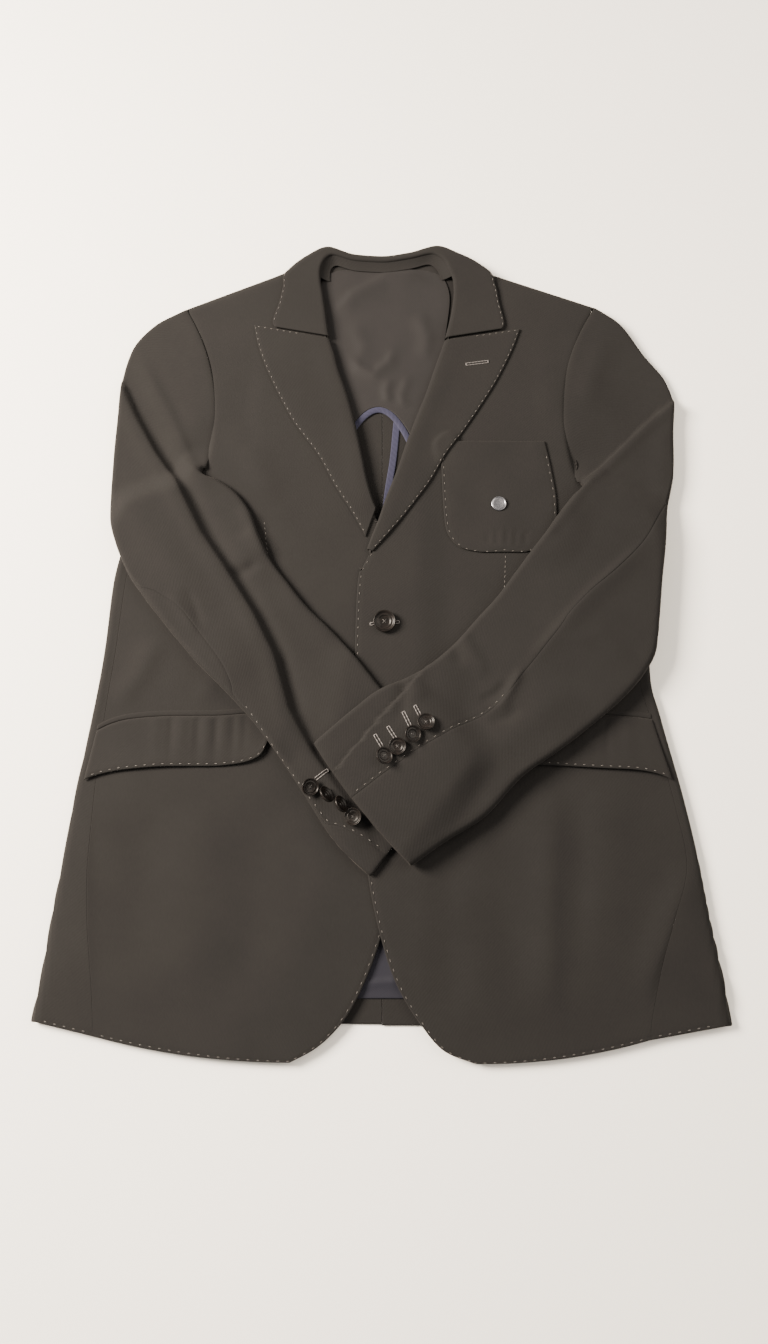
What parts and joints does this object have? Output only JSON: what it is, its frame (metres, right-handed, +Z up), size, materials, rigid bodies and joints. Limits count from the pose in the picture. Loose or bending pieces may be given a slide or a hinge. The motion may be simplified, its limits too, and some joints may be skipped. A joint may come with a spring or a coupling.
{
  "type": "suede jacket",
  "caption": "Tailored jacket in dark brushed cloth, laid flat on its back with crossed sleeves, peak lapels, flap pockets and a breast patch pocket.",
  "frame": {"origin": "centre of the bounding box's bottom, on the surface that the jacket lies on", "axes": "+Y from the hem to the collar, +X to the wearer's left, +Z up from the surface"},
  "size_m": [0.569, 0.7566, 0.035],
  "materials": {
    "cloth": "matte brushed pile, dark warm brown-grey",
    "lining": "soft satin lining, brown-grey",
    "binding": "blue-grey woven tape and lining",
    "horn": "polished dark horn look",
    "metal": "polished silver metal"
  },
  "bodies": {
    "root": {"back_left": "cloth", "back_right": "cloth", "side_left": "cloth", "side_right": "cloth", "front_left": "cloth", "front_right": "cloth", "lapel_left": "cloth", "lapel_right": "cloth", "collar": "cloth", "topsleeve_left": "cloth", "topsleeve_right": "cloth", "undersleeve_left": "cloth", "undersleeve_right": "cloth", "patch_pocket": "cloth", "flap_left": "cloth", "flap_right": "cloth", "welt_left": "cloth", "welt_right": "cloth", "collar_stand": "lining", "yoke_lining": "lining", "yoke_binding": "binding", "seam_tape": "binding", "skirt_lining": "binding", "front_button": "horn", "cuff_button_left_1": "horn", "cuff_button_left_2": "horn", "cuff_button_left_3": "horn", "cuff_button_left_4": "horn", "cuff_button_right_1": "horn", "cuff_button_right_2": "horn", "cuff_button_right_3": "horn", "cuff_button_right_4": "horn", "pin": "metal"}
  },
  "joints": []
}
